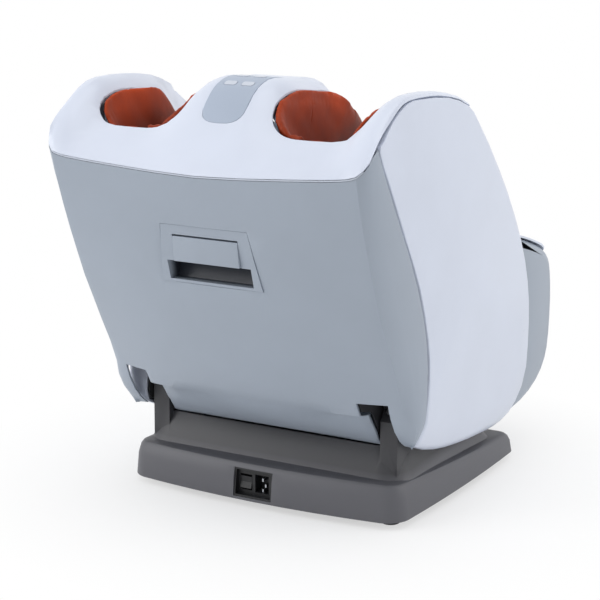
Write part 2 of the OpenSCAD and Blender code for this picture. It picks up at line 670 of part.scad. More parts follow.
// Carrying handle: a moulded pocket with the release flap in its frame.
handle_low = 309;
handle_high = 383;
function handle_y(z) = lookup(z, front) + 5;
module handle_housing() {
    color(grey) difference() {
        intersection() {
            across([[handle_y(handle_low) - 4.2, handle_low + 0.4], [-242, handle_low + 0.4],
                [-252, handle_high - 0.4], [handle_y(handle_high) - 3.6, handle_high - 0.4],
                [handle_y(346) - 4.4, 346]], -75, 75);
            rotate([90, 0, 0]) linear_extrude(400)
                polygon([[-69.6, 309.4], [69.6, 309.4], [59.6, 382.6], [-59.6, 382.6]]);
        }
        across([[-330, 313], [-262, 313], [-252, 340], [-256, 374], [-272, 374], [-278, 337],
            [-330, 337]], -58, 58);
        translate([-45.5, -330, 330]) cube([91, 58, 40.8]);
        translate([0, lever_y, lever_z - 2]) along_x(4.1, -50, 50);
    }
}
lever_y = -286;
lever_z = 366;
module release_lever() {
    color(grey) difference() {
        union() {
            across([[-290.6, 337.5], [-280, 337.5], [-282, 362], [-286, 368.5], [-294.6, 368.5],
                [-292.8, 352]], -45, 45);
            translate([0, lever_y, lever_z - 2]) {
                along_x(7, -45, 45);
                along_x(4, -49, 49);
            }
        }
        translate([-60, -283, 330]) cube([120, 20, 26]);
    }
}

module base_shell() {
    color(slate) difference() {
        union() {
            plinth_solid(0);
            collar_solid(0);
            both_sides() cheek(0);
        }
        plinth_solid(wall);
        translate([0, 0, foot_h - 1]) linear_extrude(8) polygon(plinth_plan(4));
        collar_solid(wall);
        both_sides() cheek(wall);
        both_sides() across([[-134, 120], [-52, 120], [-52, 150], [-134, 150]], bracket_x - 0.4,
            bracket_x + 4.4);
        translate([-collar_top / 2 + 8, -130.5, 60]) cube([collar_top - 16, 274.5, 90]);
        translate([inlet_x - 28, -200, inlet_z - 16.5]) cube([56, 40, 37]);
    }
}
plinth_mid = 3.5;
// Bulge of the plinth's user side and of its other sides, and its flare towards the toes.
user_bow = 15.5;
side_bow = 5.6;
side_flare = 5;
function bowed(p, w, l) = let (u = p[0] / w, v = p[1] / l) [
    p[0] + u * (side_bow * (1 - v * v) + side_flare * v),
    p[1] + plinth_mid - user_bow * (1 - u * u) * max(0, -v)
];
function plinth_plan(d) = let (w = plinth_w / 2 - d, l = plinth_l / 2 - d, r = plinth_r - d,
        a = round_rect(2 * w, 2 * l, r, 6)) [
    for (i = [0:len(a) - 1]) each concat([bowed(a[i], w, l)],
        i % 7 < 6 ? [] : [for (k = [1:7]) bowed(lerp(a[i], a[(i + 1) % len(a)], k / 8), w, l)])
];
plinth_r = 24;
flange_slope = -0.069;
function flange_z(y) = 57 + flange_slope * (y + 160);
// Rings of the plinth: share of the height, and how far the wall has drawn in there.
plinth_rings = [[0, 0], [0.6, 2.5], [0.86, 6], [0.96, 9.5], [1, 15]];
function plinth_ring(v, d, drop) = [
    for (q = plinth_plan(d)) [q[0], q[1], lerp(foot_h, flange_z(q[1]), v) - drop]
];
module plinth_solid(d) {
    skin([for (r = plinth_rings) plinth_ring(r[0], r[1] + d, d)]);
}
collar_w = 380;
collar_top = 356;
function collar_z(y) = lookup(y, [[-160, 93.2], [-125, 93.2], [60, 70], [150, 50]]);
function collar_ring(w, l, mid, v, drop) = [
    for (q = round_rect(w, l, 34, 6))
        let (y = q[1] + mid) [q[0], y, lerp(flange_z(y) - 6, collar_z(y), v) - drop]
];
module collar_solid(d) {
    skin([
        collar_ring(collar_w - 2 * d + 6, 304 - 2 * d + 6, -1, 0, 3 * d),
        collar_ring(collar_w - 2 * d - 6, 296 - 2 * d, -1, 0.35, 0),
        collar_ring(collar_top - 2 * d, 268 - 2 * d, 1, 1, d > 0 ? -1 : 0),
    ]);
}
// Cheek of the collar that rises through the panel's notch and hides the pivot bracket.
module cheek(d) {
    outline = [[-142, 60], [-40, 60], [-46, 110], [-66, 136], [-130, 140], [-141, 128]];
    across(d > 0 ? inset(outline, d) : outline, 156 + d * 0.7, 180 - d);
}
// Mains inlet in the user-side wall: its centre, and the sleeve that lines the recess.
inlet_x = -2;
inlet_z = 30;
module inlet_sleeve(d, back) {
    across([[-186.4 - d, inlet_z - 16.1 + d], [back, inlet_z - 16.1 + d], [back, inlet_z + 20.1 - d],
        [-181.4 - d, inlet_z + 20.1 - d]], inlet_x - 27.6 + d, inlet_x + 27.6 - d);
}
module inlet_housing() {
    color(dark) difference() {
        union() {
            translate([inlet_x - 31, -177, inlet_z - 15.6]) cube([62, 2, 35.6]);
            translate([inlet_x - 24, -175.5, inlet_z - 12]) cube([48, 26, 26]);
            difference() {
                inlet_sleeve(0, -176);
                inlet_sleeve(2, -170);
            }
        }
        translate([inlet_x - 1, -180.5, inlet_z - 11]) cube([20, 20, 24]);
        translate([inlet_x - 22.4, -180.5, inlet_z - 9.5]) cube([17, 21, 21]);
    }
}
module inlet_pins() {
    color(steel) for (p = [[8, -8], [8, 6], [12, -1]])
        translate([inlet_x + p[0], -174.5, inlet_z + p[1] - 2]) cube([2, 14, 4]);
}
module rocker_switch() {
    color(dark) translate([inlet_x - 14, -172.5, inlet_z + 1]) difference() {
        union() {
            across([[-7, -7.6], [8, -7], [9, 0], [8, 7], [-4.6, 7.6], [-4.4, 0]], -8, 8);
            translate([0, 3, 0]) along_x(4, -8.4, 8.4);
        }
        across([[-12, 3], [-5.6, 3], [-5.6, 5], [-12, 5]], -1.2, 1.2);
    }
}
module power_supply() {
    color("#2f6b45") translate([40, -60, 18]) cube([110, 80, 2]);
    color(dark) translate([60, -45, 20]) cube([40, 34, 14]);
    color(dark) translate([115, -30, 20]) cylinder(d = 16, h = 14, $fn = 32);
}
module base_plate() {
    color(dark) difference() {
        translate([0, 0, foot_h]) linear_extrude(wall) polygon(plinth_plan(5));
        for (p = foot_places) translate([p[0], p[1], 0]) cylinder(d = 8, h = 30, $fn = 24);
    }
}
foot_places = [[-172, -142], [172, -142], [-182, 150], [182, 150]];
module rubber_feet() {
    color(dark) for (p = foot_places) translate([p[0], p[1], 0]) {
        rotate_extrude($fn = 36) polygon([[0, 0], [foot_d / 2 - 1.5, 0], [foot_d / 2, 1.5],
            [foot_d / 2 - 1, foot_h], [0, foot_h]]);
        cylinder(d = 7.8, h = foot_h + wall + 1.4, $fn = 24);
    }
}

// Worm drives. The wheel turns on a cross shaft, the worm's axis is square to it.
wheel_r = gear_module * wheel_teeth / 2;
gear_gap = wheel_r + worm_r;
sole_y = 60;
sole_shaft_z = 101;
calf_y = -214;
calf_z = 290;
sole_roller_x = [74, 118];
calf_disc_x = [96, 132];
module worm_wheel(bore) {
    step = 360 / wheel_teeth;
    rotate([0, 90, 0]) difference() {
        linear_extrude(7, center = true) polygon([
            for (i = [0:wheel_teeth - 1]) for (q = [[-0.27, -1.25], [-0.13, 1], [0.13, 1], [0.27, -1.25]])
                let (a = (i + 0.5 + q[0]) * step, r = wheel_r + q[1] * gear_module)
                    [r * cos(a), r * sin(a)]
        ]);
        cylinder(d = bore, h = 20, center = true, $fn = 32);
        for (a = [0:60:300]) rotate(a) translate([13, 0, 0])
            cylinder(d = 7, h = 20, center = true, $fn = 24);
    }
}
// The worm lies along its own Z, with a thread facing -Y at Z = 0.
module worm(turns) {
    lead = PI * gear_module;
    h = lead * turns;
    root = worm_r - 1.9;
    crest = worm_r + 1.3;
    difference() {
        union() {
            translate([0, 0, -h / 2]) rotate(-90 - 180 * turns) linear_extrude(h, twist = -360 * turns,
                slices = 10 * turns) polygon([for (a = [-180:30:-90]) root * [cos(a), sin(a)],
                    for (a = [-60:30:60]) crest * [cos(a), sin(a)],
                    for (a = [90:30:150]) root * [cos(a), sin(a)]]);
            translate([0, 0, -h / 2 - 6]) cylinder(r = 4.6, h = h + 12, $fn = 32);
        }
        translate([0, 0, -h / 2 - 7]) cylinder(d = 5, h = h + 14, $fn = 32);
    }
}
module motor(d, l) {
    cylinder(d = d, h = l, $fn = 48);
    translate([0, 0, l]) cylinder(d = 14, h = 3, $fn = 32);
    translate([0, 0, l]) cylinder(d = 4.9, h = 40, $fn = 24);
}
module sole_shaft() {
    color(steel) translate([0, sole_y, sole_shaft_z]) along_x(10, -142, 142);
}
module sole_rollers() {
    color("#d9c9a8") translate([0, sole_y, sole_shaft_z]) for (x = sole_roller_x) for (s = [-1, 1])
        translate([s * x, 0, 0]) rotate([0, 90, 0]) difference() {
            rotate_extrude($fn = 36) polygon([[0, -7], [sole_roller_r - 4, -7],
                [sole_roller_r - 1, -5], [sole_roller_r, 0], [sole_roller_r - 1, 5],
                [sole_roller_r - 4, 7], [0, 7]]);
            cylinder(d = 10, h = 20, center = true, $fn = 48);
        }
}
module sole_wheel() {
    color("#e4dfc8") translate([0, sole_y, sole_shaft_z]) worm_wheel(10);
}
module sole_worm() {
    color(steel) translate([0, sole_y, sole_shaft_z + gear_gap]) rotate([-90, 0, 0])
        rotate(180) worm(4);
}
module sole_motor() {
    color("#7d8188") translate([0, sole_y - 84, sole_shaft_z + gear_gap]) rotate([-90, 0, 0])
        motor(34, 60);
}
module calf_shaft() {
    color(steel) translate([0, calf_y, calf_z]) along_x(10, -146, 146);
}
module calf_discs() {
    color("#d9c9a8") translate([0, calf_y, calf_z]) for (x = calf_disc_x) for (s = [-1, 1])
        translate([s * x, 0, 0]) rotate([0, 90, 0]) difference() {
            linear_extrude(12, center = true) polygon([for (i = [0:47]) let (a = 7.5 * i)
                (calf_disc_r - 3 + 3 * cos(3 * a)) * [cos(a), sin(a)]]);
            cylinder(d = 10, h = 20, center = true, $fn = 48);
        }
}
module calf_wheel() {
    color("#e4dfc8") translate([0, calf_y, calf_z]) rotate([-90, 0, 0]) worm_wheel(10);
}
module calf_worm() {
    color(steel) translate([0, calf_y + gear_gap, calf_z]) worm(4);
}
module calf_motor() {
    color("#7d8188") translate([0, calf_y + gear_gap, calf_z - 84]) motor(34, 60);
}
module bearing(bore, size) {
    rotate([0, 90, 0]) difference() {
        translate([-size / 2, -size / 2, -4]) cube([size, size, 8]);
        cylinder(d = bore + 0.1, h = 20, center = true, $fn = 48);
    }
}
module bearing_blocks() {
    color(dark) {
        for (x = [-40, 40, -134, 134]) translate([x, sole_y, sole_shaft_z]) bearing(10, 22);
        for (x = [-38, 38, -143, 143]) translate([x, calf_y, calf_z]) bearing(10, 24);
    }
}
module air_pump() {
    color(dark) translate([0, -110, 400]) rotate([leg_lean, 0, 0]) {
        translate([0, 0, -40]) linear_extrude(70) polygon(round_rect(76, 66, 12, 4));
        translate([-14, 0, 30]) cylinder(d = 8, h = 14, $fn = 24);
    }
}
module valve_block() {
    color("#7d8188") translate([-24, -120, 300]) cube([48, 30, 36]);
}
module air_hoses() {
    color("#55585e") both_sides() tube_along(
        open_curve([[26, -105, 318], [36, -104, 326], [44, -100, 345], [47, -110, 366]], 3), 3, 8);
}
screw_places = [[-132, -100, 94.7], [132, -100, 94.7], [-132, 96, 70], [132, 96, 70]];
module screws() {
    color(steel) for (p = screw_places) translate(p) {
        translate([0, 0, -2.6]) cylinder(d = 7, h = 2.6, $fn = 24);
        translate([0, 0, -1]) cylinder(d = 3.9, h = 8, $fn = 24);
    }
}
pull_place = [187.5, -233, 523.6];
module zip_pull() {
    color(dark) translate(pull_place) rotate([12, -44, 0]) cube([8, 4, 2]);
}

base_shell();
base_plate();
rubber_feet();
inlet_housing();
inlet_pins();
power_supply();
left_pivot_bracket();
right_pivot_bracket();
pivot_pins();
brake_drum();
rocker_switch();
chassis();
pivot_bushes();
bottom_cover();
slot_walls();
back_panel();
panel_trim();
handle_housing();
left_side_cover();
right_side_cover();
top_cover();
control_panel();
circuit_board();
shin_cover();
toe_box();
toe_cover();
left_leg_shell();
right_leg_shell();
left_liner();
right_liner();
calf_airbags();
sole_motor();
calf_motor();
bearing_blocks();
air_pump();
valve_block();
air_hoses();
screws();
release_lever();
brake_shoe();
release_cable();
sole_shaft();
sole_rollers();
sole_wheel();
sole_worm();
calf_shaft();
calf_discs();
calf_wheel();
calf_worm();
power_button();
mode_button();
strength_button();
heat_button();
zip_pull();
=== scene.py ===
import bpy, bmesh, json, math
from mathutils import Matrix, Vector, noise
from mathutils.kdtree import KDTree

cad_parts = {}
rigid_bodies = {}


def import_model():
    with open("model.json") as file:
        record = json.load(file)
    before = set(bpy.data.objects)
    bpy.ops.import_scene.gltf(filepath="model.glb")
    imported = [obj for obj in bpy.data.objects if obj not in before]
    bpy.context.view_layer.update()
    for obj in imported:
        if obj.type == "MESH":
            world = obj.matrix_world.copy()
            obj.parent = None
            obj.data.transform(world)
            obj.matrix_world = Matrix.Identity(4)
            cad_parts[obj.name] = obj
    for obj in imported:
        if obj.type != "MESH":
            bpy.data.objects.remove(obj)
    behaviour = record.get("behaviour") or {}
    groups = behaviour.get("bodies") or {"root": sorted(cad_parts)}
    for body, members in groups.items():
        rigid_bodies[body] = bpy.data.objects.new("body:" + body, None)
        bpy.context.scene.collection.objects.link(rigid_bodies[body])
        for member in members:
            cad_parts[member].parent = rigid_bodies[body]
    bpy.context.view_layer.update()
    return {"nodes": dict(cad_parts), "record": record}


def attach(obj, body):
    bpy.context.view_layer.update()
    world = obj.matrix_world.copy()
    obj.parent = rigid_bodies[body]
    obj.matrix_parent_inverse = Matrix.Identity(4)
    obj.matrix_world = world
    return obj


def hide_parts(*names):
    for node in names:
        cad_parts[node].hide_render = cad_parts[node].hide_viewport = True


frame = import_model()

nodes = frame["nodes"]
# The collar entry is the share of colour left by painted shade on the plinth's collar, under the body.
bodyTone = {"white": "#D8DEEC", "grey": "#A1AAB6", "slate": "#5D5D62", "collar": 0.42, "fabric": "#B8400F"}
# Distances in metres: points closer than weld are one point, and a bump stands grainHeight proud.
weld = 0.00002
grainHeight = 0.0001


def rgb(code):
    parts = [int(code[i:i + 2], 16) / 255 for i in (1, 3, 5)]
    return [c / 12.92 if c <= 0.04045 else ((c + 0.055) / 1.055) ** 2.4 for c in parts]


def newMaterial(name):
    mat = bpy.data.materials.new(name)
    mat.use_nodes = True
    mat.node_tree.nodes.clear()
    out = mat.node_tree.nodes.new("ShaderNodeOutputMaterial")
    shader = mat.node_tree.nodes.new("ShaderNodeBsdfPrincipled")
    mat.node_tree.links.new(shader.outputs[0], out.inputs[0])
    return mat, shader


def addNode(mat, kind, settings=None, **inputs):
    node = mat.node_tree.nodes.new("ShaderNode" + kind)
    for key, value in (settings or {}).items():
        setattr(node, key, value)
    for key, value in inputs.items():
        socket = node.inputs[key.replace("_", " ")]
        if isinstance(value, bpy.types.NodeSocket):
            mat.node_tree.links.new(value, socket)
        else:
            socket.default_value = value
    return node


def link(mat, output, socket):
    mat.node_tree.links.new(output, socket)


def objectPoint(mat):
    return addNode(mat, "TexCoord").outputs["Object"]


def spotted(mat, point, scale, detail=3.0):
    return addNode(mat, "TexNoise", Vector=point, Scale=scale, Detail=detail, Roughness=0.55).outputs["Fac"]


def spread(mat, value, low, high, lowTo, highTo):
    node = addNode(mat, "MapRange", Value=value)
    for key, number in (("From Min", low), ("From Max", high), ("To Min", lowTo), ("To Max", highTo)):
        node.inputs[key].default_value = number
    return node.outputs["Result"]


def tint(mat, value, stops):
    ramp = addNode(mat, "ValToRGB", Fac=value)
    elements = ramp.color_ramp.elements
    while len(elements) < len(stops):
        elements.new(0.5)
    for element, (place, colour) in zip(elements, stops):
        element.position = place
        element.color = (*colour, 1)
    return ramp.outputs["Color"]


def shade(colour, factor):
    return [min(c * factor, 1) for c in colour]


# Moulded plastic: a fine spark-eroded grain, and a slight cloud in tone and gloss.
def mouldedPlastic(name, code, rough=0.4, grain=0.25, grainSize=0.0009, cloud=0.025, coat=0.0):
    mat, shader = newMaterial(name)
    point = objectPoint(mat)
    base = rgb(code)
    tone = spotted(mat, point, 9, 4)
    link(mat, tint(mat, tone, [(0.3, shade(base, 1 - cloud)), (0.7, shade(base, 1 + cloud))]),
         shader.inputs["Base Color"])
    fine = spotted(mat, point, 1 / grainSize, 2)
    link(mat, spread(mat, addNode(mat, "Mix", {"data_type": "FLOAT"}, Factor=0.5, A=fine, B=tone).outputs[0],
                     0.3, 0.7, rough - 0.06, rough + 0.06), shader.inputs["Roughness"])
    bump = addNode(mat, "Bump", Height=fine, Strength=grain, Distance=grainHeight)
    link(mat, bump.outputs[0], shader.inputs["Normal"])
    shader.inputs["Coat Weight"].default_value = coat
    shader.inputs["Coat Roughness"].default_value = 0.15
    return mat


# Brushed or cast metal: fine lines, drawn out by stretch, in tone, gloss and relief.
def metalFinish(name, code, rough=0.32, stretch=(1, 1, 40), grain=0.15):
    mat, shader = newMaterial(name)
    point = addNode(mat, "Mapping", Vector=objectPoint(mat), Scale=stretch).outputs[0]
    lines = spotted(mat, point, 60, 4)
    base = rgb(code)
    link(mat, tint(mat, lines, [(0.25, shade(base, 0.86)), (0.75, shade(base, 1.08))]),
         shader.inputs["Base Color"])
    link(mat, spread(mat, lines, 0.3, 0.7, rough - 0.08, rough + 0.1), shader.inputs["Roughness"])
    bump = addNode(mat, "Bump", Height=lines, Strength=grain, Distance=grainHeight)
    link(mat, bump.outputs[0], shader.inputs["Normal"])
    shader.inputs["Metallic"].default_value = 1.0
    return mat


# Grey of the carrying recess with painted shade: as the panel at its mouth, darkened towards nearly black at
# its back, where shade falls deep in the recess.
# The depth is y + lean * z, which runs square to the leaning panel.
def recessPlastic(name, code, shadedCode, lean, front, back):
    mat, shader = newMaterial(name)
    place = addNode(mat, "SeparateXYZ", Vector=objectPoint(mat))
    depth = addNode(mat, "Math", {"operation": "MULTIPLY_ADD"})
    link(mat, place.outputs[2], depth.inputs[0])
    depth.inputs[1].default_value = lean
    link(mat, place.outputs[1], depth.inputs[2])
    # Painted shade: the grey darkens with depth into the recess.
    link(mat, tint(mat, spread(mat, depth.outputs[0], front, back, 0, 1), [(0, rgb(code)), (1, rgb(shadedCode))]),
         shader.inputs["Base Color"])
    fine = spotted(mat, objectPoint(mat), 1100, 2)
    link(mat, spread(mat, fine, 0.3, 0.7, 0.38, 0.5), shader.inputs["Roughness"])
    link(mat, addNode(mat, "Bump", Height=fine, Strength=0.2, Distance=grainHeight).outputs[0],
         shader.inputs["Normal"])
    return mat


# The plinth: its collar, above the shoulder, is darker than the flange by painted shade, the shadow that the
# body above casts on it.
def plinthPlastic(name, code, factor, shoulder=(0.052, 0.064)):
    mat, shader = newMaterial(name)
    point = objectPoint(mat)
    height = addNode(mat, "SeparateXYZ", Vector=point).outputs[2]
    fine = spotted(mat, point, 900, 3)
    shadeAboveShoulder = spread(mat, height, *shoulder, 0, 1)
    # Painted shade: factor darkens the colour with height above the shoulder.
    link(mat, tint(mat, shadeAboveShoulder, [(0, rgb(code)), (1, shade(rgb(code), factor))]), shader.inputs["Base Color"])
    link(mat, spread(mat, fine, 0.3, 0.7, 0.44, 0.56), shader.inputs["Roughness"])
    link(mat, addNode(mat, "Bump", Height=fine, Strength=0.45, Distance=1.5 * grainHeight).outputs[0],
         shader.inputs["Normal"])
    return mat


# Woven lining cloth: two crossing sets of threads, a soft sheen, lighter and darker patches at random, and
# painted shade that deepens from the mouth of the well down to its inside.
def wovenCloth(name, code, thread=0.0011, inside=0.46, mouth=0.54, lean=0.28):
    mat, shader = newMaterial(name)
    bands = 0.314 / thread
    point = objectPoint(mat)
    base = rgb(code)
    patch = spotted(mat, point, 14, 4)
    turned = addNode(mat, "Mapping", Vector=point, Rotation=(lean, 0, 0)).outputs[0]
    across = addNode(mat, "TexWave", {"bands_direction": "Y"}, Vector=turned, Scale=bands).outputs["Fac"]
    along = addNode(mat, "TexWave", {"bands_direction": "Z"}, Vector=turned, Scale=bands).outputs["Fac"]
    weave = addNode(mat, "Math", {"operation": "MULTIPLY"})
    link(mat, across, weave.inputs[0])
    link(mat, along, weave.inputs[1])
    mixed = addNode(mat, "Math", {"operation": "MULTIPLY_ADD"})
    link(mat, weave.outputs[0], mixed.inputs[0])
    mixed.inputs[1].default_value = 0.25
    link(mat, patch, mixed.inputs[2])
    height = addNode(mat, "SeparateXYZ", Vector=point).outputs[2]
    # Painted shade: the random patches plus a darkening that grows from the mouth height down to the inside
    # height.
    patchesAndDepthShade = addNode(mat, "Math", {"operation": "ADD"})
    link(mat, mixed.outputs[0], patchesAndDepthShade.inputs[0])
    link(mat, spread(mat, height, inside, mouth, -0.5, 0.02), patchesAndDepthShade.inputs[1])
    tones = [(0.05, shade(base, 0.3)), (0.5, shade(base, 0.8)), (0.8, shade(base, 1.3))]
    link(mat, tint(mat, patchesAndDepthShade.outputs[0], tones), shader.inputs["Base Color"])
    shader.inputs["Specular IOR Level"].default_value = 0.2
    link(mat, spread(mat, patch, 0.3, 0.7, 0.46, 0.6), shader.inputs["Roughness"])
    link(mat, addNode(mat, "Bump", Height=weave.outputs[0], Strength=0.3, Distance=grainHeight).outputs[0],
         shader.inputs["Normal"])
    shader.inputs["Sheen Weight"].default_value = 0.04
    shader.inputs["Sheen Roughness"].default_value = 0.4
    shader.inputs["Sheen Tint"].default_value = (*rgb("#E8936F"), 1)
    return mat


finish = {
    "white": mouldedPlastic("whiteCover", bodyTone["white"], 0.33, 0.12, coat=0.1),
    "grey": mouldedPlastic("greyCover", bodyTone["grey"], 0.42, 0.2),
    "slate": plinthPlastic("slateBase", bodyTone["slate"], bodyTone["collar"]),
    "recess": recessPlastic("recessGrey", bodyTone["grey"], "#2A2F3A", 0.288, -0.184, -0.172),
    "cloth": wovenCloth("liningCloth", bodyTone["fabric"]),
    "black": mouldedPlastic("blackPlastic", "#17181B", 0.42, 0.3),
    "light": mouldedPlastic("lightPlastic", "#AAB5C6", 0.4, 0.2),
    "trim": mouldedPlastic("trimStrip", "#CBD1DC", 0.3, 0.1),
    "steel": metalFinish("brushedSteel", "#B9BCC2"),
    "motor": metalFinish("motorCan", "#8B9097", 0.4, (6, 6, 6)),
    "rubber": mouldedPlastic("blackRubber", "#15161A", 0.72, 0.5, 0.0016),
    "board": mouldedPlastic("circuitGreen", "#1F5B3C", 0.35, 0.1),
    "roller": mouldedPlastic("rollerResin", "#D8CBAE", 0.38, 0.2),
    "gear": mouldedPlastic("gearResin", "#E2DEC9", 0.4, 0.15),
}
slotFinish = {"white": "white", "grey": "grey", "slate": "slate", "black_plastic": "black", "plate": "light",
              "trim": "trim", "light_plastic": "light", "steel": "steel", "fabric": "rubber",
              "rubber": "rubber", "board": "board", "motor": "motor", "roller": "roller", "gear": "gear"}
slotOf = {row["node"]: row["material_slot"] for row in frame["record"]["subparts"]}


def paint(piece, mat):
    piece.data.materials.clear()
    piece.data.materials.append(mat)


for name, piece in nodes.items():
    mat = finish["recess" if name == "handle_housing" else slotFinish[slotOf[name]]]
    for row in piece.material_slots:
        row.material = mat
    if not piece.material_slots:
        paint(piece, mat)
print("materials are set")


def bodyOf(node):
    return nodes[node].parent.name.split(":", 1)[1]


def newPiece(name, bm, mat):
    mesh = bpy.data.meshes.new(name)
    bm.to_mesh(mesh)
    bm.free()
    piece = bpy.data.objects.new(name, mesh)
    bpy.context.scene.collection.objects.link(piece)
    paint(piece, mat)
    return piece


def markSharp(bm, angle):
    limit = math.radians(angle)
    for face in bm.faces:
        face.smooth = True
    for edge in bm.edges:
        edge.smooth = not (len(edge.link_faces) == 2 and edge.calc_face_angle(0) > limit)


# A smooth piece over a CAD node: its mesh with the seams closed, edges rounded and normals blended.
def smoothCover(node, name, mat, edge=0.0, angle=32, segments=3):
    bm = bmesh.new()
    bm.from_mesh(nodes[node].data)
    bmesh.ops.remove_doubles(bm, verts=bm.verts, dist=weld)
    bmesh.ops.dissolve_limit(bm, angle_limit=math.radians(0.4), verts=bm.verts, edges=bm.edges)
    markSharp(bm, angle)
    if edge:
        sharp = [e for e in bm.edges if not e.smooth]
        bmesh.ops.bevel(bm, geom=sharp, offset=edge, offset_type="OFFSET", segments=segments, profile=0.5,
                        affect="EDGES", clamp_overlap=True, material=-1)
        markSharp(bm, 45)
    piece = newPiece(name, bm, mat)
    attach(piece, bodyOf(node))
    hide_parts(node)
    return piece


# Per CAD node: the piece that stands for it, its finish and the rounding of its edges in metres.
covers = {
    "back_panel": ("rearPanel", "grey", 0.0012), "top_cover": ("topCover", "white", 0.0012),
    "left_side_cover": ("leftSideCover", "white", 0.001),
    "right_side_cover": ("rightSideCover", "white", 0.001),
    "toe_box": ("toeBox", "grey", 0.0012), "toe_cover": ("toeCover", "white", 0.001),
    "shin_cover": ("shinCover", "white", 0.001), "base_shell": ("plinth", "slate", 0.0015),
    "release_lever": ("releaseFlap", "grey", 0.0008), "control_panel": ("controlPlate", "light", 0.0008),
}
made = {name: smoothCover(node, name, finish[mat], edge) for node, (name, mat, edge) in covers.items()}


# The top cover's outer edges, past the rear panel, reach down to the side covers.
skirt = {"inner": 0.2172, "outer": 0.2178, "rear": -0.3, "drop": 0.003}


def dropSkirt(piece, values):
    for v in piece.data.vertices:
        if values["inner"] < abs(v.co.x) < values["outer"] and v.co.y > values["rear"]:
            v.co.z -= values["drop"]


dropSkirt(made["topCover"], skirt)
print("covers are made")

# Lining of a leg well and foot tunnel: inflated inward as cloth, then creased across the calf.
# rim is the middle of the well's mouth, on an axis that leans back by lean degrees; half and reach are the
# well's half width and its depth towards the user; axis runs down the leg and out along the foot.
lining = {
    "rim": (0.1225, -0.198, 0.513), "lean": 16.0, "half": 0.0646, "reach": 0.0655,
    "gap": 0.002, "band": 0.09, "near": 0.034, "fade": 0.016, "flare": 0.005, "slit": 0.0012,
    "edge": 0.009, "step": 0.003, "rounds": 8,
    "pressure": 4.0, "frames": 20, "cap": 0.005, "crease": 0.0042, "seed": 7,
    "axis": [(0.1225, -0.206, 0.54), (0.1015, -0.115, 0.23), (0.096, -0.10, 0.195), (0.096, 0.26, 0.16)],
}


def evaluated(piece):
    graph = bpy.context.evaluated_depsgraph_get()
    graph.update()
    return bpy.data.meshes.new_from_object(piece.evaluated_get(graph))


def nearestOnAxis(point, axis):
    best = None
    for a, b in zip(axis, axis[1:]):
        a, b = Vector(a), Vector(b)
        share = min(max((point - a).dot(b - a) / (b - a).length_squared, 0), 1)
        spot = a.lerp(b, share)
        if best is None or (spot - point).length < (best - point).length:
            best = spot
    return best


# True where the lining faces the leg or foot, False where it lies against its shell.
def facesLeg(v, normal, axis):
    toAxis = nearestOnAxis(v, axis) - v
    return normal.dot(toAxis.normalized()) > 0.12


def fineMesh(source, longest):
    bm = bmesh.new()
    bm.from_mesh(nodes[source].data)
    bmesh.ops.remove_doubles(bm, verts=bm.verts, dist=weld)
    bmesh.ops.dissolve_limit(bm, angle_limit=math.radians(0.5), verts=bm.verts, edges=bm.edges)
    bmesh.ops.triangulate(bm, faces=bm.faces)
    for _ in range(9):
        tooLong = [e for e in bm.edges if e.calc_length() > longest]
        if not tooLong:
            break
        bmesh.ops.subdivide_edges(bm, edges=tooLong, cuts=1)
        bmesh.ops.triangulate(bm, faces=[f for f in bm.faces if len(f.verts) > 3])
    bm.normal_update()
    return bm


def clamp(value):
    return min(max(value, 0), 1)


# Points along the edges of the top cover that bound a well, in the well's own axes.
def rimPoints(cover, toLeg, values):
    half, reach = values["half"], values["reach"]
    places = [toLeg @ v.co for v in cover.data.vertices]
    found = []
    for edge in cover.data.edges:
        a, b = (places[i] for i in edge.vertices)
        if max(abs(a.x), abs(b.x)) > half + 0.002 or max(abs(a.y), abs(b.y)) > 0.15:
            continue
        steps = max(1, int((b - a).length / values["step"]))
        for i in range(steps + 1):
            p = a.lerp(b, i / steps)
            onWall = abs(abs(p.x) - half) < 0.0016 or abs(p.y + reach) < 0.0016
            inCorner = abs(p.x) < half + 0.001 and -reach - 0.001 < p.y < -0.03
            if (onWall or inCorner) and p.y > -reach - 0.002:
                found.append(p)
    return found


def planTree(places):
    tree = KDTree(len(places))
    for i, p in enumerate(places):
        tree.insert((p.x, p.y, 0), i)
    tree.balance()
    return tree


# Height of the highest place near p in plan, and how far off in plan the nearest one is.
def highest(places, tree, p, around):
    found = tree.find_n((p.x, p.y, 0), 40)
    nearest = found[0][2]
    return max(places[i].z for _, i, far in found if far < nearest + around), nearest


def evenOut(bm, numbers, rounds):
    bm.verts.index_update()
    around = [[e.other_vert(v).index for e in v.link_edges] for v in bm.verts]
    for _ in range(rounds):
        numbers = [0.5 * own + 0.5 * sum(numbers[i] for i in ring) / len(ring)
                   for own, ring in zip(numbers, around)]
    return numbers


